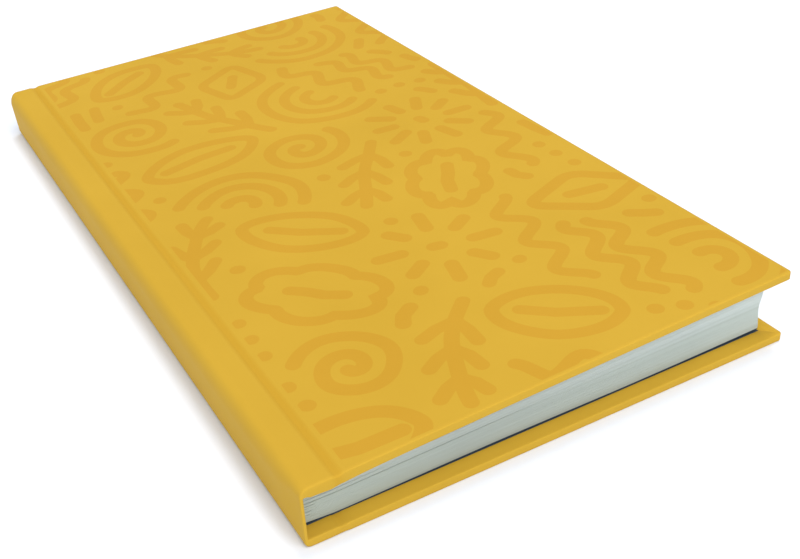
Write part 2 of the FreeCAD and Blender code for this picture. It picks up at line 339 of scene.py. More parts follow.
# shape, place on the cover in millimetres from spine and tail, turn in degrees, hand number, sizes
LAYOUT = [
    ("leaf", 32.9, 132.3, 8.8, 1, (32.8, 16.02,)),
    ("spiral", 57.9, 120.8, 93.5, 2, (1.82, 6.54, 0.98,)),
    ("sprig", 48.4, 154.3, 115.2, 3, (37.54, 3, 9.77, 1.85,)),
    ("rainbow", 33.9, 104.3, 328.0, 4, (3.67, 3, 6.2, 177.13,)),
    ("sprig", 66.4, 96.8, 239.9, 5, (34.77, 3, 9.29, -1.0,)),
    ("spiral", 22.9, 159.3, 333.1, 6, (1.92, 6.39, 1.07,)),
    ("rainbow", 73.4, 146.8, 119.2, 7, (4.51, 3, 6.2, 199.47,)),
    ("cloud", 81.4, 81.8, 241.4, 8, (11.31, 8, 2.62,)),
    ("leaf", 38.9, 80.3, 141.0, 9, (30.05, 15.8,)),
    ("sun", 61.9, 54.8, 348.3, 10, (8, 8.76, 14.51,)),
    ("diamond", 60.4, 176.3, 157.3, 11, (10.18, 13.37,)),
    ("wave", 83.9, 160.3, 118.5, 12, (32.24, 2.78, 14.34, 2.82,)),
    ("wave", 81.9, 44.3, 84.0, 13, (40.29, 3.12, 13.59, 1.71,)),
    ("twin_wave", 93.4, 26.3, 265.4, 14, (37.13, 2.47, 13.23, 6.6,)),
    ("leaf", 68.4, 17.8, 143.1, 15, (27.47, 16.48,)),
    ("wave", 39.4, 182.3, 38.2, 16, (29.06, 3.03, 13.93, 2.75,)),
    ("sprig", 45.9, 17.8, 241.0, 17, (33.92, 3, 8.74, -2.66,)),
    ("sun", 92.9, 115.3, 282.6, 18, (10, 8.49, 14.56,)),
    ("cloud", 29.9, 54.3, 316.6, 19, (12.17, 6, 2.34,)),
    ("spiral", 23.9, 26.3, 218.9, 20, (1.79, 6.17, 0.84,)),
    ("wave", 104.9, 91.3, 253.6, 21, (33.95, 2.85, 14.35, 1.11,)),
    ("twin_wave", 98.9, 160.8, 118.2, 22, (28.61, 2.18, 13.2, 6.6,)),
    ("leaf", 32.9, 198.8, 36.7, 23, (27.16, 15.56,)),
    ("rainbow", 90.9, 190.8, 203.1, 24, (4.09, 3, 6.2, 172.65,)),
    ("diamond", 104.4, 54.8, 259.3, 25, (9.62, 15.48,)),
    ("sprig", 62.4, 207.3, 326.4, 26, (38.07, 3, 8.55, -3.5,)),
    ("rainbow", 111.4, 13.8, 270.4, 27, (3.72, 3, 6.2, 199.52,)),
    ("spiral", 87.9, 212.3, 107.5, 28, (1.79, 6.14, 1.44,)),
    ("leaf", 13.9, 4.8, 172.8, 29, (26.52, 16.99,)),
    ("sprig", 15.9, 83.3, 69.9, 30, (35.44, 3, 8.9, 3.75,)),
    ("sprig", 115.4, 129.3, 87.7, 31, (35.87, 3, 8.55, -0.94,)),
    ("wave", 114.9, 192.8, 269.5, 32, (37.29, 2.87, 14.43, 2.41,)),
    ("twin_wave", 12.4, 203.3, 59.0, 33, (29.85, 2.28, 14.89, 6.6,)),
    ("wave", 63.4, 0.3, 338.3, 34, (28.91, 2.75, 14.2, 2.08,)),
    ("wave", 8.9, 124.3, 266.7, 35, (29.15, 3.08, 12.59, 1.52,)),
    ("rain", 12.4, 177.8, 10.5, 36, (3, 11.45, 6.01, 2.41,)),
    ("dash", 106.4, 178.3, 237.3, 37, (5.75, 0.01,)),
    ("dash", 108.4, 167.3, 132.0, 38, (5.61, -0.27,)),
    ("dots", 110.4, 75.3, 95.5, 39, (3, 6.98, -0.36,)),
    ("dot", 58.4, 192.3, 317.7, 40, ()),
    ("dash", 96.4, 72.3, 294.4, 41, (5.53, -0.71,)),
    ("dash", 106.4, 209.3, 87.4, 42, (5.39, -0.45,)),
    ("dot", 15.4, 116.8, 286.5, 43, ()),
    ("dots", 100.4, 140.3, 359.3, 44, (3, 6.67, -0.81,)),
    ("dash", 104.4, 131.8, 121.9, 45, (4.78, -0.19,)),
    ("dot", 55.4, 101.3, 104.0, 46, ()),
    ("dash", 64.9, 36.3, 36.1, 47, (5.05, 0.49,)),
    ("dots", 90.9, 3.8, 147.0, 48, (3, 6.33, 0.65,)),
    ("dash", 113.9, 156.8, 106.6, 49, (4.92, 0.25,)),
    ("dash", 41.9, 34.8, 229.0, 50, (6.35, -0.76,)),
    ("dots", 10.9, 46.8, 88.2, 51, (3, 6.98, -0.14,)),
    ("dot", 19.4, 73.8, 158.2, 52, ()),
    ("dot", 73.9, 38.8, 195.9, 53, ()),
    ("dash", 108.4, 38.3, 142.4, 54, (6.43, 0.17,)),
    ("dash", 114.9, 90.8, 279.3, 55, (9.91, -0.33,)),
    ("dot", 113.9, 42.8, 357.2, 56, ()),
    ("dash", 68.9, 212.8, 328.9, 57, (6.0, 0.25,)),
    ("dot", 49.4, 41.3, 47.7, 58, ()),
    ("dot", 78.9, 99.8, 137.5, 59, ()),
    ("dot", 24.9, 181.3, 61.6, 60, ()),
    ("dot", 58.4, 71.3, 120.0, 61, ()),
    ("dot", 9.9, 145.8, 115.0, 62, ()),
    ("dot", 11.4, 20.3, 315.7, 63, ()),
    ("dot", 10.9, 27.3, 96.4, 64, ()),
    ("dot", 28.9, 213.8, 354.7, 65, ()),
]


def strokes():
    """Centre lines of every motif, with a hand-drawn waver."""
    out = []
    for kind, x, y, rot, hand, sizes in LAYOUT:
        c, s = math.cos(math.radians(rot)), math.sin(math.radians(rot))
        for p, closed in SHAPES[kind](*sizes):
            p = np.asarray(p, float)
            k = hand * 1.7
            q = p.copy()
            q[:, 0] += 0.22 * (np.sin(0.31 * p[:, 1] + k) + 0.6 * np.sin(0.53 * p[:, 0] + 2.1 * k))
            q[:, 1] += 0.22 * (np.sin(0.29 * p[:, 0] + 1.3 * k) + 0.6 * np.sin(0.57 * p[:, 1] + 0.7 * k))
            half = STROKE * (1 + 0.05 * math.sin(3.3 * hand))
            out.append((np.stack([x + c * q[:, 0] - s * q[:, 1], y + s * q[:, 0] + c * q[:, 1]], 1), closed, half))
    return out


def outlines(p, closed, half):
    """The outline of one stroke as closed loops."""
    d = np.gradient(p, axis=0) if not closed else (np.roll(p, -1, 0) - np.roll(p, 1, 0))
    d /= np.maximum(np.linalg.norm(d, axis=1, keepdims=True), 1e-9)
    nrm = np.stack([-d[:, 1], d[:, 0]], 1)
    if closed:
        return [p + nrm * half, p - nrm * half]
    caps = []
    for end, ang in ((p[-1], math.atan2(nrm[-1, 1], nrm[-1, 0])), (p[0], math.atan2(-nrm[0, 1], -nrm[0, 0]))):
        t = np.linspace(ang, ang - math.pi, 11)[1:-1]
        caps.append(np.stack([end[0] + half * np.cos(t), end[1] + half * np.sin(t)], 1))
    return [np.vstack([p + nrm * half, caps[0], (p - nrm * half)[::-1], caps[1]])]


def in_strokes(points, lines):
    hit = np.zeros(len(points), bool)
    for p, closed, half in lines:
        q = np.vstack([p, p[:1]]) if closed else p
        lo, hi = q.min(0) - half, q.max(0) + half
        idx = np.where(((points > lo) & (points < hi)).all(1) & ~hit)[0]
        if not len(idx):
            continue
        c = points[idx]
        a, ab = q[:-1], q[1:] - q[:-1]
        l2 = np.maximum((ab ** 2).sum(1), 1e-12)
        t = np.clip(((c[:, None, :] - a[None]) * ab[None]).sum(2) / l2, 0, 1)
        dist = np.linalg.norm(c[:, None, :] - (a[None] + t[..., None] * ab[None]), axis=2).min(1)
        hit[idx[dist < half * 0.995]] = True
    return hit


# ---------------------------------------------------------------------------
# One half of the cover paper: a cover, its groove, its strip and half the spine
# ---------------------------------------------------------------------------
def ends(y, side):
    """1 along the cover, less near head and tail, where the folded paper is stiffer."""
    least = 0.80 if side == "front" else 0.25
    return least + (1 - least) * float(smooth01((min(y, H - y) - 0.5) / 5.0))


def groove_press_and_shade(u, y, side):
    """How far the paper is pressed into the groove, 0 to 1; the cover material also uses it as the mask of the painted
    shade in the groove.
    """
    w = 0.03 * math.sin(y * 0.093 + 0.7) + 0.02 * math.sin(y * 0.041)
    d = abs(u - HINGE_U - w)
    return ends(y, side) * (1 + 0.035 * math.sin(y * 0.057 + 1.1)) * (1 - float(smooth01((d - 0.05) / 1.55)))


def groove(u, y, side):
    """Depth of the pressed groove."""
    return GROOVE_VIS * groove_press_and_shade(u, y, side)


PUFF_U = [2.0, 3.2, 4.8, 5.9, 7.2, 8.4, 9.4, 12.0, 16.0, 25.0, 45.0]
PUFF_N = [0.45, 0.50, 0.66, 0.78, 0.70, 0.58, 0.46, 0.32, 0.17, 0.09, 0.0]


def puff(side, u, d):
    """How far the turned-in paper stands off inside the front cover, d from its head or tail edge."""
    if side != "front":
        return 0.0
    return float(np.interp(u, PUFF_U, PUFF_N)) * (1 - float(smooth01((d - 1.2) / 2.1)))


LEAN = 0.5                 # how far the spine leans out at its upper edge, away from the tail


def spine_edge(y):
    """Of the spine's upper edge at y: lean, half axes and start angle of its rounding, where it meets the spine."""
    k = float(smooth01((y - 0.8) / 9.0))
    rx, rz = R_TOP + LEAN * k, R_TOP + 2.0 * k
    a0 = math.pi / 2 + math.atan(TA * rx / rz)
    z0 = SPINE_T + (R_TOP + rx * math.cos(a0)) * TA - rz * math.sin(a0)
    return LEAN * k, rx, rz, a0, z0


def spine_outer(c, y):
    d, rx, rz, a0, z0 = spine_edge(y)
    if "arc" in c:
        a = a0 + (math.pi - a0) * c["arc"]
        return (R_TOP + rx * math.cos(a), z0 + rz * math.sin(a))
    z = z0 + (SEAM_Z - z0) * c["wall"] if c["top"] else c["P"][1]
    return (-d * max(0.0, z - R_BOT) / (z0 - R_BOT), z)


def spine_inner(c, y):
    """The inner side there: under the cover, round the corner and down the spine."""
    if "q0" not in c:
        return c["Q"]
    (xa, za), zc = c["q0"], c["zc"]
    low, along = min(zc, spine_edge(y)[4]), xa - WALL
    if "wall" in c:
        return (WALL, low + (SEAM_Z - low) * c["wall"])
    s = c["arc"] * (along + zc - low)
    return (xa - s, za + (zc - za) * s / along) if s <= along else (WALL, zc - (s - along))


def spine_columns(side):
    """Outer and inner points (x, z), from the flat of the cover to the middle of the spine."""
    put = front if side == "front" else back
    us = [9.4, 9.25, 9.1, 8.95, 8.8, 8.65, 8.5, 8.35, 8.2, 8.05, 7.9, 7.8, 7.7, 7.6, 7.5, 7.35, 7.2, 7.05, 6.9, 6.75, 6.6,
          6.45, 6.3, 6.1, 5.7, 5.1, 4.4, 3.6, 2.8]
    cols = []
    for u in us:
        sag = 0.10 * (1 - float(smooth01((abs(u - HINGE_U) - 0.3) / 1.2)))
        cols.append(dict(u=u, P=put(u, 0.0), Q=put(u, SHELL - sag), g=True))
    if side == "front":
        cx = R_TOP
        cz = SPINE_T + cx * TA - R_TOP / CA
        a0, a1, R = math.pi / 2 + A, math.pi, R_TOP
        zc = SPINE_T + (WALL * TA) - SHELL / CA
        u_t = (cx - R * SA) * CA + (cz + R * CA - SPINE_T) * SA
        q0 = put(u_t, SHELL)
        z_end = SEAM_Z
    else:
        cx = cz = R_BOT
        a0, a1, R = 3 * math.pi / 2, math.pi, R_BOT
        zc = SHELL
        q0 = (R_BOT, SHELL)
        z_end = SEAM_Z
        for u in (2.3, 1.8):
            cols.append(dict(u=u, P=back(u, 0.0), Q=back(u, SHELL), g=False, k=0.0))
    n = 14
    zq = (cz if side == "front" else zc)
    L1 = q0[0] - WALL
    L2 = abs(zq - zc)
    for i in range(n + 1):
        t = i / n
        a = a0 + (a1 - a0) * t
        P = (cx + R * math.cos(a), cz + R * math.sin(a))
        s = t * (L1 + L2)
        if s <= L1:
            Q = (q0[0] - s, q0[1] + (zc - q0[1]) * (s / L1))
        else:
            Q = (WALL, zc + math.copysign(s - L1, zq - zc) if L2 > 1e-9 else zc)
        cols.append(dict(u=0.0, P=P, Q=Q, g=False, k=max(0.0, 1 - s / L1) ** 2))
        if side == "front":
            cols[-1].update(arc=t, q0=q0, zc=zc)
    zs = np.linspace(cz, z_end, 8)[1:]
    zi = np.linspace(zq, z_end, 8)[1:]
    for i, (a, b) in enumerate(zip(zs, zi)):
        cols.append(dict(u=0.0, P=(0.0, float(a)), Q=(WALL, float(b)), g=False, k=0.0, wall=(i + 1) / len(zs), top=side == "front"))
        if side == "front":
            cols[-1].update(q0=q0, zc=zc)
    return cols


def end_section(t, Ro, Ri, Ry):
    """(inset from the edge, depth) from the outer surface round to the inner one."""
    pts = [(0.8, 0.0)]
    for k in range(1, 7):
        a = math.radians(15 * k)
        pts.append((Ry * (1 - math.sin(a)), Ro * (1 - math.cos(a))))
    pts.append((0.0, (Ro + t - Ri) / 2))
    for k in range(0, 5):
        a = math.radians(22.5 * k)
        pts.append((Ri * (1 - math.cos(a)), t - Ri * (1 - math.sin(a))))
    return pts


TURN_ROWS = [0.7, 1.2, 1.7, 2.2, 2.7, 3.3, 5.0, 7.0, 9.0, 10.6, TURN]
NY = 74


def cover_half(side, name, mats, print_on):
    put = front if side == "front" else back
    net = Net()
    ys = np.linspace(0.8, H - 0.8, NY)
    cols = spine_columns(side)

    def outer(c, y):
        if c["g"]:
            return put(c["u"], groove(c["u"], y, side))
        return spine_outer(c, y) if "arc" in c or "wall" in c else c["P"]

    # groove, strip and spine
    rows = [[(outer(c, y)[0], y, outer(c, y)[1]) for c in cols] for y in ys]
    net.grid(rows)
    # their head and tail ends, with the turn-in
    for end in (0, 1):
        yy = (lambda d: d) if end == 0 else (lambda d: H - d)
        strip = []
        for c in cols:
            y_ref = ys[0] if end == 0 else ys[-1]
            P = np.array(outer(c, y_ref))
            Q = np.array(spine_inner(c, y_ref))
            base = float(np.linalg.norm(Q - P))
            N = (Q - P) / base
            t = base + (puff(side, c["u"], 0.0) if c["g"] else puff(side, 2.0, 0.0) * c["k"])
            k = float(smooth01((c["u"] - 8.0) / 1.4))
            Ro = min(R_END + (R_OUT - R_END) * k, 0.42 * t)
            Ri = min(R_IN, 0.30 * t)
            Ry = max(Ro, 0.3)
            sec = [(P[0] + N[0] * d, yy(i), P[1] + N[1] * d) for i, d in end_section(t, Ro, Ri, Ry)]
            for i in TURN_ROWS:
                e = puff(side, c["u"], i) if c["g"] else puff(side, 2.0, i) * c["k"]
                sec.append((Q[0] + N[0] * e, yy(i), Q[1] + N[1] * e))
            strip.append(sec)
        net.grid(strip)
    # the cover's rounded rim
    path = []
    tail_u = list(np.linspace(U0, W - R_PLAN, 38))
    for u in tail_u:
        path.append(("tail", u))
    for a in np.linspace(-90, 0, 9)[1:-1]:
        path.append(("c0", a))
    for y in np.linspace(R_PLAN, H - R_PLAN, NY):
        path.append(("fore", y))
    for a in np.linspace(0, 90, 9)[1:-1]:
        path.append(("c1", a))
    for u in reversed(tail_u):
        path.append(("head", u))

    def at(p, d):
        k, s = p
        if k == "tail":
            return (s, d)
        if k == "head":
            return (s, H - d)
        if k == "fore":
            return (W - d, s)
        a = math.radians(s)
        cy = R_PLAN if k == "c0" else H - R_PLAN
        return (W - R_PLAN + (R_PLAN - d) * math.cos(a), cy + (R_PLAN - d) * math.sin(a))

    ring = []
    for p in path:
        line = []
        sec = end_section(SHELL + (puff(side, p[1], 0.0) if p[0] in ("tail", "head") else 0.0), R_OUT, R_IN, R_OUT)
        for d, n in sec:
            u, y = at(p, d)
            x, z = put(u, n)
            line.append((x, y, z))
        ring.append(line)
    net.grid(ring)
    # flat of the cover, with the print
    loop = [at(p, 0.8) for p in path] + [(U0, float(y)) for y in ys[::-1][1:-1]]
    loop = np.array(loop)
    band = np.array([(U0 + 0.25, 1.3), (W - 1.3, 1.3), (W - 1.3, H - 1.3), (U0 + 0.25, H - 1.3)])
    loops, lines = [loop, band], []
    pu, p0, p1, pf = 9.9, 0.82, H - 0.82, W - 0.82
    inked = []
    if print_on:
        field = np.array([(pu, p0), (pf, p0), (pf, p1), (pu, p1)])
        loops.append(field)
        inked = strokes()
        for p, closed, half in inked:
            loops.extend(outlines(p, closed, half))
    v, f = triangulate(loops, lines)
    cen = v[f].mean(1)
    keep = inside(cen, loop)
    f, cen = f[keep], cen[keep]
    mat = np.zeros(len(f), int)
    if print_on:
        ok = (cen[:, 0] > pu) & (cen[:, 0] < pf) & (cen[:, 1] > p0) & (cen[:, 1] < p1)
        mat[ok & in_strokes(cen, inked)] = 1
    pts = []
    for u, y in v:
        x, z = put(u, 0.0)
        pts.append((x, y, z))
    net.tris(pts, f, mat)
    # the turn-in, mitred at the corners
    d_in = sec[-1][0]
    outer_loop = [at(p, d_in) for p in path]
    inner_loop = [(U0, H - TURN), (W - TURN, H - TURN), (W - TURN, TURN), (U0, TURN)]
    rows_in = [d_in] + TURN_ROWS
    left_head = [(U0, H - d) for d in rows_in[1:-1]]
    left_tail = [(U0, d) for d in rows_in[1:-1]][::-1]
    flap = np.array(outer_loop + left_head + inner_loop + left_tail)
    seams = []
    for sy, yy in ((1, 0.0), (-1, H)):
        for off in (-0.09, 0.0, 0.09):
            a = np.array([W - 0.75 + off, yy + sy * (0.75 + off)])
            b = np.array([W - TURN + off, yy + sy * (TURN + off)])
            if off > 0:
                b = np.array([W - TURN + off, yy + sy * (TURN)]) + 0
            seams.append(np.linspace(a, b, 14))
    if side == "front":
        near = list(np.linspace(U0 + 0.4, 46, 16))
        for d in (1.2, 1.7, 2.2, 2.7, 3.3):
            seams.append(np.array([(U0, d)] + [(a, d) for a in near]))
            seams.append(np.array([(U0, H - d)] + [(a, H - d) for a in near]))
    v, f = triangulate([flap], seams)
    cen = v[f].mean(1)
    f = f[inside(cen, flap)]
    pts = []
    for u, y in v:
        n = SHELL + (puff(side, u, min(y, H - y)) if u < 46 else 0.0)
        for yy, sy in ((0.0, 1), (H, -1)):
            if abs((W - u) - sy * (y - yy)) < 0.03 and (W - u) > 0.8:
                n = SHELL - 0.07
        x, z = put(u, n)
        pts.append((x, y, z))
    net.tris(pts, f, np.zeros(len(f), int))
    mid = put(60.0, 0.0)
    up = (0, 0, 1) if side == "front" else (0, 0, -1)
    ob = net.build(name, mats, up=((mid[0], H / 2, mid[1]), up), thick=PAPER - 0.01)
    me = ob.data
    co = np.empty(len(me.vertices) * 3)
    me.vertices.foreach_get("co", co)
    co = co.reshape(-1, 3) / MM
    x, y, z = co[:, 0] + W / 2, co[:, 1] + H / 2, co[:, 2]
    u = x * CA + (z - SPINE_T) * SA if side == "front" else x
    # the groove weight, stored for the cover material, which paints shade into the groove with it
    val = np.array([groove_press_and_shade(a, b, side) if abs(a - HINGE_U) < 1.8 else 0.0 for a, b in zip(u, y)])
    att = me.attributes.new("groove_press_and_shade", "FLOAT", "POINT")
    att.data.foreach_set("value", val.astype(np.float32))
    return ob


# ---------------------------------------------------------------------------
# Endpapers
# ---------------------------------------------------------------------------
def endpaper(side, name, mats):
    """Pastedown, down its board's edge into the hinge and up the strip's edge to the flyleaf."""
    put = front if side == "front" else back
    f, y0, y1 = W - SQ_FORE, SQ_TAIL, H - SQ_TAIL
    prof = [(6.97, n, 0) for n in (2.33, 2.26)]   # (u, n, on the board?)
    for a in (20, 45, 70, 90):
        r = math.radians(a)
        prof.append((6.97 + 0.16 * (1 - math.cos(r)), 2.24 - 0.16 * math.sin(r), 0))
    for u in (7.25, 7.4, 7.55, 7.7, 7.85, 8.0, 8.15, 8.3, 8.45, 8.6):
        prof.append((u, 2.08, 0))
    us = [8.75, 9.2, 10, 12, 15] + list(np.linspace(19, W - TURN - 4, 22)) + \
         list(np.linspace(W - TURN - 1.6, W - TURN + 1.2, 12)) + list(np.linspace(W - TURN + 2, f, 6))
    for u in us:
        prof.append((float(u), 2.08, 1))
    ys = list(np.linspace(y0, TURN - 1.2, 5)) + list(np.linspace(TURN - 0.8, TURN + 1.6, 11)) + \
        list(np.linspace(TURN + 4, H - TURN - 4, 40)) + \
        list(np.linspace(H - TURN - 1.6, H - TURN + 0.8, 11)) + list(np.linspace(H - TURN + 1.2, y1, 5))
    rows = []
    for y in ys:
        line = []
        for u, n, on in prof:
            # let down between the turn-ins
            s = min(y - TURN, H - TURN - y, W - TURN - u)
            n2 = n - 0.19 * float(smooth01((s + 0.25) / 1.0)) * float(smooth01((u - 7.6) / 1.2))
            if on:
                n2 += 0.006 * math.sin(u * 0.21 + y * 0.11) + 0.005 * math.sin(u * 0.07 - y * 0.17)
            x, z = put(u, n2)
            line.append((x, y, z))
        rows.append(line)
    net = Net()
    net.grid(rows)
    mid = put(60.0, 2.0)
    up = (0, 0, -1) if side == "front" else (0, 0, 1)
    ob = net.build(name, mats, up=((mid[0], H / 2, mid[1]), up), thick=0.13)
    return ob


def rest_n(x, y, lift=1.0):
    """How far the pages' lowest leaf lies above the back cover's outer surface."""
    xs = [1.3, 4.0, 7.0, 10, 17, 25, 44, 60, 75, 91, 102, 114]
    ns = [2.17 + 0.62 * lift, 2.18 + 0.42 * lift, 2.24 + 0.10 * lift, 2.31, 2.40, 2.49, 2.66, 2.58, 2.46, 2.56, 2.72, 2.92]
    tail = float(np.interp(x, xs, ns))
    head = 2.30 + 0.20 * float(smooth01(x / 30)) + 0.10 * math.sin(x * 0.05 + 0.8) + 0.22 * float(smooth01((x - 90) / 25))
    t = float(smooth01(y / H))
    mid = 0.10 * math.sin(math.pi * y / H)
    return tail * (1 - t) + head * t - mid * float(smooth01(x / 40))


def flyleaf(side, name, mats):
    put = front if side == "front" else back
    f, y0, y1 = W - SQ_FORE - (0.0 if side == "front" else 0.38), SQ_TAIL, H - SQ_TAIL
    us = [2.0, 2.3, 3.0, 4.5, 6.0, 6.9] + list(np.linspace(8, f - 3, 34)) + [f - 1.5, f - 0.5, f - 0.05, f]
    ys = [y0, y0 + 0.05, y0 + 0.6, y0 + 2] + list(np.linspace(y0 + 5, y1 - 5, 60)) + [y1 - 2, y1 - 0.6, y1 - 0.05, y1]
    rows = []
    for y in ys:
        line = []
        for u in us:
            n = 2.48 - 0.008 * math.sin(u * 0.09 + y * 0.05) if side == "front" else rest_n(u, y, 0.0) - 0.005
            x, z = put(u, n)
            line.append((x, y, z))
        rows.append(line)
    net = Net()
    net.grid(rows)
    mid = put(60.0, 2.5)
    up = (0, 0, -1) if side == "front" else (0, 0, 1)
    return net.build(name, mats, up=((mid[0], H / 2, mid[1]), up), thick=0.13)


# ---------------------------------------------------------------------------
# The pages
# ---------------------------------------------------------------------------
def page_stack(name, mats, leaves=96):
    rng = np.random.RandomState(7)
    f, y0, y1 = W - SQ_FORE, SQ_TAIL, H - SQ_TAIL
    def zt(x):
        return SPINE_T + x * TA - BLOCK_N / CA

    wts = 1 + 0.16 * rng.randn(leaves).clip(-2, 2)
    F = np.concatenate([[0], np.cumsum(wts)])
    F /= F[-1]
    # perimeter: tail from spine to fore-edge, fore-edge, head back, spine
    s_x = np.concatenate([np.linspace(0, 0.036, 13)[:-1], np.linspace(0.036, 0.25, 11)[:-1], np.linspace(0.25, 1, 26)])
    per = [("t", s) for s in s_x] + [("f", s) for s in np.linspace(0, 1, 44)[1:-1]] + [("h", s) for s in s_x[::-1]] + \
          [("s", s) for s in np.linspace(1, 0, 22)[1:-1]]
    out = 0.018 * rng.randn(leaves)
    out[rng.choice(leaves, 9, replace=False)] += 0.03 * rng.rand(9)
    # depth and half width of the gap under each leaf, as it runs from spine (0) to fore-edge (1)
    sig = set(range(12, leaves, 12))
    # leaves that stand apart near the spine: depth, half width, how far along
    OPEN = {0.52: (0.75, 0.066, 0.43), 0.60: (0.55, 0.055, 0.15), 0.53: (0.50, 0.080, 0.014), 0.43: (0.50, 0.085, 0.024),
            0.29: (0.55, 0.085, 0.016), 0.19: (0.55, 0.085, 0.013)}
    gaps = []
    for i in range(leaves + 1):
        g0 = 0.03 + 0.02 * rng.rand()
        w0 = 0.008 + 0.004 * rng.rand()
        extra = None
        if i in sig:
            extra = (0.15 + 0.1 * rng.rand(), 0.025, 0.008 + 0.02 * rng.rand())
        for at_, size in OPEN.items():
            if i == int(leaves * at_):
                extra = size
        gaps.append((g0, w0, extra, rng.rand() * 6))

    def gap(i, s):
        g0, w0, extra, ph = gaps[i]
        g, w = g0, w0
        if extra:
            k = 1 - float(smooth01((s - extra[2] * 0.55) / (extra[2] * 0.9)))
            k *= 0.25 + 0.75 * float(smooth01(s / 0.012))
            g += extra[0] * k
            w += extra[1] * k
        g += 0.02 * math.sin(9 * s + ph)
        return max(0.0, g), w

    HOLLOW_AT = [0, 0.06, 0.11, 0.17, 0.23, 0.30, 0.38, 0.44, 0.49, 0.53, 0.57, 0.61, 0.66, 0.74, 1.0]
    HOLLOW_IN = [0.38, 0.41, 0.47, 0.57, 0.69, 0.80, 0.89, 0.92, 0.89, 0.81, 0.68, 0.51, 0.34, 0.16, 0.0]

    def point(kind, s, Fz, inset, dz, o):
        """o moves the edge out, inset moves it in."""
        hollow = float(np.interp(Fz, HOLLOW_AT, HOLLOW_IN))
        e = inset - o
        if kind in ("t", "h"):
            x0, x1 = BLOCK_X, f - hollow
            x = x0 + (x1 - x0) * s
            ends = min(max(e, 0), 0.4)
            if s == 0:
                x += ends
            elif s == 1:
                x -= ends
            y = (y0 + e) if kind == "t" else (y1 - e)
            if kind == "t":
                # the leaves above the long gap lean back a little
                y += 0.3 * min(1.0, max(0.0, (Fz - 0.525) / 0.22)) * (1 - float(smooth01((s - 0.4) / 0.45)))
        elif kind == "f":
            y = y0 + (y1 - y0) * s
            x = f - hollow - e
        else:
            y = y0 + (y1 - y0) * s
            x = BLOCK_X + 0.3 * e
        low = rest_n(x, y)
        z = low + Fz * (zt(x) - low) + dz
        # rounded long corners at the spine
        for d in (z - low, zt(x) - z):
            if d < BLOCK_R:
                lim = BLOCK_X + BLOCK_R - math.sqrt(max(0.0, BLOCK_R ** 2 - (BLOCK_R - max(d, 0)) ** 2))
                x = max(x, lim)
        y = min(max(y, y0), y1)
        x = min(x, f)
        return (x, y, z)

    rows = []
    for i in range(leaves):
        o = -abs(out[i]) * 0.6
        lo, hi = [], []
        inn = []
        for kind, s in per:
            sx = s if kind in ("t", "h") else (1.0 if kind == "f" else 0.0)
            g, w = gap(i, sx)
            g2, w2 = gap(i + 1, sx)
            if i > 0:
                inn.append(point(kind, s, F[i], g, 0, 0))
            lo.append(point(kind, s, F[i], 0, w if i > 0 else 0.01, o))
            hi.append(point(kind, s, F[i + 1], 0, -w2 if i < leaves - 1 else -0.01, o))
        if inn:
            rows.append(inn)
        rows.append(lo)
        rows.append(hi)
    net = Net()
    net.grid(rows, closed=True)
    # underside, in rings that follow the lie of the flyleaf
    cx, cy = (BLOCK_X + f) / 2, H / 2
    rings = []
    for t in (0.0, 0.012, 0.03, 0.06, 0.10, 0.16, 0.23, 0.31, 0.40, 0.50, 0.60, 0.70, 0.80, 0.90):
        ring = []
        for x, y, z in rows[0]:
            if t:
                x, y = x + (cx - x) * t, y + (cy - y) * t
                z = rest_n(x, y) + 0.02
            ring.append((x, y, z))
        rings.append(ring)
    net.grid(rings[::-1], closed=True)
    net.fan(rings[-1][::-1])
    net.fan(rows[-1])
    ob = net.build(name, mats, up=((60, y0, 8), (0, -1, 0)), merge=0.0003, sharp=30)
    me = ob.data
    co = np.empty(len(me.vertices) * 3)
    me.vertices.foreach_get("co", co)
    co = co.reshape(-1, 3) / MM
    x = co[:, 0] + W / 2
    y = co[:, 1] + H / 2
    top = SPINE_T + x * TA - BLOCK_N / CA
    low = np.array([rest_n(a, b) for a, b in zip(x, y)])
    val = (co[:, 2] - low) / (top - low)
    att = me.attributes.new("leaf", "FLOAT", "POINT")
    att.data.foreach_set("value", val.astype(np.float32))
    return ob


# ---------------------------------------------------------------------------
# Materials
# ---------------------------------------------------------------------------
def srgb(r, g, b):
    def lin(c):
        c /= 255.0
        return c / 12.92 if c <= 0.04045 else ((c + 0.055) / 1.055) ** 2.4
    return (lin(r), lin(g), lin(b), 1.0)


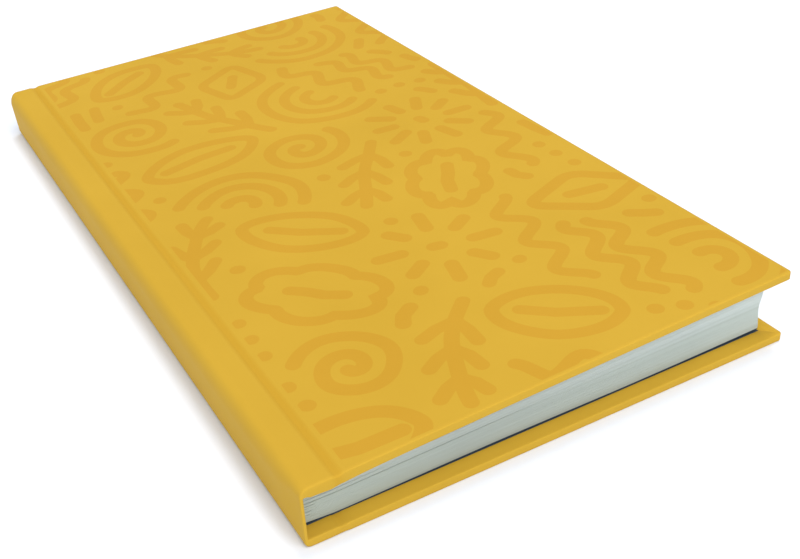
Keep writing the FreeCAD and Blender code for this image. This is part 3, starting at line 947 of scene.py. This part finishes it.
class Mat:
    def __init__(self, name, rough=0.5, spec=0.4):
        self.m = bpy.data.materials.new(name)
        self.m.use_nodes = True
        self.t = self.m.node_tree
        self.b = self.t.nodes["Principled BSDF"]
        self.b.inputs["Roughness"].default_value = rough
        self.b.inputs["Specular IOR Level"].default_value = spec
        self.co = self.node("ShaderNodeTexCoord").outputs["Object"]

    def node(self, kind, **props):
        n = self.t.nodes.new(kind)
        for k, v in props.items():
            setattr(n, k, v)
        return n

    def link(self, a, b):
        self.t.links.new(a, b)

    def math(self, op, a, b=None, c=None, clamp=False):
        n = self.node("ShaderNodeMath", operation=op, use_clamp=clamp)
        for i, v in enumerate((a, b, c)):
            if v is None:
                continue
            if isinstance(v, (int, float)):
                n.inputs[i].default_value = v
            else:
                self.link(v, n.inputs[i])
        return n.outputs[0]

    def noise(self, scale, detail=2.0, rough=0.5, vec=None, stretch=None):
        src = vec if vec is not None else self.co
        if stretch:
            mp = self.node("ShaderNodeVectorMath", operation="MULTIPLY")
            self.link(src, mp.inputs[0])
            mp.inputs[1].default_value = stretch
            src = mp.outputs[0]
        n = self.node("ShaderNodeTexNoise")
        n.inputs["Scale"].default_value = scale
        n.inputs["Detail"].default_value = detail
        n.inputs["Roughness"].default_value = rough
        self.link(src, n.inputs["Vector"])
        return n.outputs["Fac"]

    def mix(self, fac, a, b, blend="MIX"):
        n = self.node("ShaderNodeMix", data_type="RGBA", blend_type=blend)
        for k, v in ((0, fac), (6, a), (7, b)):
            if isinstance(v, (int, float)):
                n.inputs[k].default_value = v
            elif isinstance(v, tuple):
                n.inputs[k].default_value = v
            else:
                self.link(v, n.inputs[k])
        return n.outputs[2]

    def ramp(self, fac, stops):
        n = self.node("ShaderNodeValToRGB")
        r = n.color_ramp
        while len(r.elements) < len(stops):
            r.elements.new(0.5)
        for e, (p, c) in zip(r.elements, stops):
            e.position, e.color = p, c
        self.link(fac, n.inputs["Fac"])
        return n.outputs["Color"]

    def color(self, out):
        self.link(out, self.b.inputs["Base Color"])

    def bump(self, height, strength, distance, normal=None):
        n = self.node("ShaderNodeBump")
        n.inputs["Strength"].default_value = strength
        n.inputs["Distance"].default_value = distance
        self.link(height, n.inputs["Height"])
        if normal is not None:
            self.link(normal, n.inputs["Normal"])
        return n.outputs["Normal"]


def cover_paper(name, base, rough=0.56):
    """Matt coated paper: a fine tooth, faint mottle in colour and gloss."""
    m = Mat(name, rough, 0.05)
    mottle = m.noise(26, 3, 0.55)
    fine = m.noise(900, 2, 0.6)
    r, g, b, _ = base
    lo = (r * 0.972, g * 0.966, b * 0.93, 1)
    hi = (min(1, r * 1.022), g * 1.026, b * 1.05, 1)
    c = m.ramp(mottle, [(0.32, lo), (0.68, hi)])
    c = m.mix(m.math("MULTIPLY", fine, 0.05), c, (r * 0.80, g * 0.76, b * 0.6, 1))
    # painted shade in the groove: the colour turns darker and browner where the groove weight is high
    at = m.node("ShaderNodeAttribute", attribute_name="groove_press_and_shade")
    c = m.mix(m.math("MULTIPLY", at.outputs["Fac"], 1.0, clamp=True), c, (r * 0.955, g * 0.905, b * 0.76, 1))
    m.color(c)
    m.link(m.math("MULTIPLY_ADD", m.noise(60, 3, 0.6), 0.10, rough - 0.05), m.b.inputs["Roughness"])
    n = m.bump(m.noise(2600, 2, 0.6), 0.10, 0.00002)
    n = m.bump(m.noise(420, 3, 0.55), 0.12, 0.00003, n)
    m.link(n, m.b.inputs["Normal"])
    return m.m


def page_paper():
    m = Mat("page_edges", 0.75, 0.2)
    at = m.node("ShaderNodeAttribute", attribute_name="leaf")
    comb = m.node("ShaderNodeCombineXYZ")
    sep = m.node("ShaderNodeSeparateXYZ")
    m.link(m.co, sep.inputs[0])
    m.link(m.math("MULTIPLY", sep.outputs[0], 9.0), comb.inputs[0])
    m.link(m.math("MULTIPLY", sep.outputs[1], 9.0), comb.inputs[1])
    m.link(m.math("MULTIPLY", at.outputs["Fac"], 24.0), comb.inputs[2])
    streak = m.noise(1.0, 3, 0.62, vec=comb.outputs[0])
    comb2 = m.node("ShaderNodeCombineXYZ")
    m.link(m.math("MULTIPLY", sep.outputs[0], 22.0), comb2.inputs[0])
    m.link(m.math("MULTIPLY", sep.outputs[1], 22.0), comb2.inputs[1])
    m.link(m.math("MULTIPLY", at.outputs["Fac"], 130.0), comb2.inputs[2])
    fine = m.noise(1.0, 2, 0.7, vec=comb2.outputs[0])
    c = m.ramp(streak, [(0.30, (0.548, 0.616, 0.566, 1)), (0.52, (0.588, 0.661, 0.617, 1)), (0.75, (0.629, 0.701, 0.667, 1))])
    # painted shade and light across the block's height: the lowest leaves darker, the leaves from about 0.6 up lighter
    painted_height_shading = m.ramp(at.outputs["Fac"], [(0.0, (0.70, 0.70, 0.70, 1)), (0.10, (0.79, 0.79, 0.79, 1)), (0.48, (0.82, 0.82, 0.82, 1)),
                                      (0.60, (0.97, 0.96, 0.99, 1)), (0.72, (0.99, 0.98, 1.0, 1)), (1.0, (1.0, 0.99, 1.0, 1))])
    c = m.mix(1.0, c, painted_height_shading, "MULTIPLY")
    # painted light and shade along the block: darkest a little under a third of the way from the spine, lightest at
    # the fore-edge
    along = m.ramp(m.math("MULTIPLY_ADD", sep.outputs[0], 8.5, 0.5),
                   [(0.0, (0.90, 0.90, 0.86, 1)), (0.12, (0.83, 0.83, 0.80, 1)), (0.30, (0.775, 0.775, 0.765, 1)), (0.80, (0.86, 0.87, 0.87, 1)), (1.0, (1.0, 1.0, 1.0, 1))])
    c = m.mix(1.0, c, along, "MULTIPLY")
    c = m.mix(m.math("MULTIPLY", m.math("GREATER_THAN", fine, 0.62), 0.12), c, (0.30, 0.34, 0.32, 1))
    m.color(c)
    n = m.bump(fine, 0.35, 0.00006)
    n = m.bump(m.noise(3000, 2, 0.6), 0.2, 0.00002, n)
    m.link(n, m.b.inputs["Normal"])
    return m.m


def endpaper_mat():
    m = Mat("endpaper", 0.78, 0.2)
    fibres = m.noise(1.0, 4, 0.65, stretch=(700, 260, 500))
    cloud_ = m.noise(40, 3, 0.6)
    # dark slate endpaper colour, also chosen so the endpaper edges under the pages read as the dark shade line there:
    # the paper's colour and painted shade
    c = m.ramp(cloud_, [(0.3, srgb(50, 62, 73)), (0.7, srgb(57, 70, 82))])
    c = m.mix(m.math("MULTIPLY", fibres, 0.18), c, srgb(74, 88, 99))
    m.color(c)
    n = m.bump(m.noise(1500, 3, 0.6), 0.25, 0.00003)
    n = m.bump(fibres, 0.15, 0.00003, n)
    m.link(n, m.b.inputs["Normal"])
    return m.m


def greyboard_mat(name="greyboard", a=(142, 136, 128), b=(160, 154, 146)):
    m = Mat(name, 0.85, 0.15)
    c = m.ramp(m.noise(300, 4, 0.7), [(0.3, srgb(*a)), (0.7, srgb(*b))])
    specks = m.math("GREATER_THAN", m.noise(1600, 2, 0.5), 0.66)
    c = m.mix(m.math("MULTIPLY", specks, 0.5), c, srgb(92, 86, 80))
    m.color(c)
    m.link(m.bump(m.noise(1200, 3, 0.6), 0.4, 0.00005), m.b.inputs["Normal"])
    return m.m


def cloth_mat():
    m = Mat("lining_cloth", 0.9, 0.1)
    wx = m.node("ShaderNodeTexWave", wave_type="BANDS", bands_direction="Y")
    wz = m.node("ShaderNodeTexWave", wave_type="BANDS", bands_direction="Z")
    for w in (wx, wz):
        w.inputs["Scale"].default_value = 420
        w.inputs["Distortion"].default_value = 0.6
        m.link(m.co, w.inputs["Vector"])
    weave = m.math("MAXIMUM", wx.outputs["Fac"], wz.outputs["Fac"])
    c = m.ramp(weave, [(0.35, srgb(150, 143, 126)), (0.75, srgb(222, 216, 200))])
    m.color(c)
    m.link(m.bump(weave, 0.6, 0.0001), m.b.inputs["Normal"])
    return m.m


YELLOW = (0.545, 0.333, 0.0345, 1.0)
INK = (YELLOW[0] * 0.968, YELLOW[1] * 0.880, YELLOW[2] * 0.81, 1.0)
M_COVER = cover_paper("cover_yellow", YELLOW, 0.60)
M_PRINT = cover_paper("cover_print", INK, 0.57)
M_PAGES = page_paper()
M_END = endpaper_mat()
M_BOARD = greyboard_mat()
M_CARD = greyboard_mat("spine_card", (186, 166, 130), (204, 184, 148))
M_CLOTH = cloth_mat()

# ---------------------------------------------------------------------------
# Pieces
# ---------------------------------------------------------------------------
front_sheet = cover_half("front", "cover_sheet_front", [M_COVER, M_PRINT], True)
back_sheet = cover_half("back", "cover_sheet_back", [M_COVER], False)
front_end = endpaper("front", "endpaper_front", [M_END])
back_end = endpaper("back", "endpaper_back", [M_END])
front_fly = flyleaf("front", "flyleaf_front", [M_END])
back_fly = flyleaf("back", "flyleaf_back", [M_END])
pages = page_stack("pages", [M_PAGES])


def bend_points(side, u0=6.95, u1=8.45):
    put = front if side == "front" else back
    out = []
    for u in (u0, u1):
        x, z = put(u, 0.0)
        out.append(tuple(rowco(np.array((x, H / 2, z)))))
    return out


for ob, side, cover in ((front_sheet, "front", "front_cover"), (back_sheet, "back", "back_cover"),
                        (front_end, "front", "front_cover"), (back_end, "back", "back_cover")):
    s, e = bend_points(side, 7.0, 8.4)
    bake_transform(ob)
for ob in (front_fly, back_fly, pages):
    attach(ob, "text_block")

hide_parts("cover_paper_front", "cover_paper_spine")
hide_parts("cover_paper_back", "cover_paper_spine")
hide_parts("front_pastedown")
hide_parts("back_pastedown")
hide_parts("front_flyleaf")
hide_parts("back_flyleaf")
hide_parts("page_block")

for node, mat in (("front_board", M_BOARD), ("back_board", M_BOARD), ("front_hinge_strip", M_BOARD),
                  ("back_hinge_strip", M_BOARD), ("spine_card", M_CARD), ("spine_lining", M_CLOTH)):
    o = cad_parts[node]
    o.data.materials.clear()
    o.data.materials.append(mat)

# ---------------------------------------------------------------------------
# Floor, light, camera
# ---------------------------------------------------------------------------
bpy.ops.mesh.primitive_plane_add(size=6, location=(0, 0, -0.00002))
floor = bpy.context.active_object
floor.name = "floor"
fm = Mat("floor_white", 0.9, 0.1)
fm.b.inputs["Base Color"].default_value = (0.82, 0.86, 0.94, 1)
floor.data.materials.append(fm.m)

# a white tent, soft lights overhead and in front at three heights, and a low fill beside the spine
TENT, OVER, HIGH, FRONT, LOW, SIDE = 0.462, 0.82, 1.49, 0.58, 0.63, 0.82

world = bpy.data.worlds.new("studio")
bpy.context.scene.world = world
world.use_nodes = True
bg = world.node_tree.nodes["Background"]
bg.inputs["Color"].default_value = (1, 1, 1, 1)
bg.inputs["Strength"].default_value = TENT


def soft_sun(name, azimuth, elevation, spread, power):
    """Azimuth is measured from -y towards +x."""
    l = bpy.data.lights.new(name, "SUN")
    l.energy = power
    l.angle = math.radians(spread)
    o = bpy.data.objects.new(name, l)
    bpy.context.scene.collection.objects.link(o)
    a, e = math.radians(azimuth), math.radians(elevation)
    d = Vector((math.sin(a) * math.cos(e), -math.cos(a) * math.cos(e), math.sin(e)))
    o.location = d * 1.5
    o.rotation_mode = "QUATERNION"
    o.rotation_quaternion = d.to_track_quat("Z", "Y")
    return o


soft_sun("overhead", 135, 74, 16, OVER)
soft_sun("front_high", 8, 62, 40, HIGH)
soft_sun("front_fill", 8, 40, 34, FRONT)
soft_sun("front_low", 0, 12, 50, LOW)
soft_sun("side_fill", -90, 14, 40, SIDE)

cam_data = bpy.data.cameras.new("camera")
cam = bpy.data.objects.new("camera", cam_data)
bpy.context.scene.collection.objects.link(cam)
cam_data.sensor_width = 36.0
cam_data.sensor_fit = "HORIZONTAL"
cam_data.lens = 1112.287 * 36.0 / 800.0
az, el, roll = math.radians(-27.867), math.radians(32.474), math.radians(-3.330)
dist, tx, ty = 276.300, 59.075, 69.491
b_ = Vector((math.sin(az) * math.cos(el), -math.cos(az) * math.cos(el), math.sin(el)))
fw = -b_
right = fw.cross(Vector((0, 0, 1))).normalized()
upv = right.cross(fw)
r2 = right * math.cos(roll) + upv * math.sin(roll)
u2 = -right * math.sin(roll) + upv * math.cos(roll)
C = Vector((tx, ty, 0)) + b_ * dist
C = (C - Vector((W / 2, H / 2, 0))) * MM
rot = Matrix((r2, u2, b_)).transposed().to_4x4()
cam.matrix_world = Matrix.Translation(C) @ rot
cam_data.clip_start = 0.01
cam_data.clip_end = 20
bpy.context.scene.camera = cam

scene = bpy.context.scene
scene.view_settings.view_transform = "Standard"
scene.view_settings.look = "None"
scene.view_settings.exposure = 0.0
scene.view_settings.gamma = 1.0
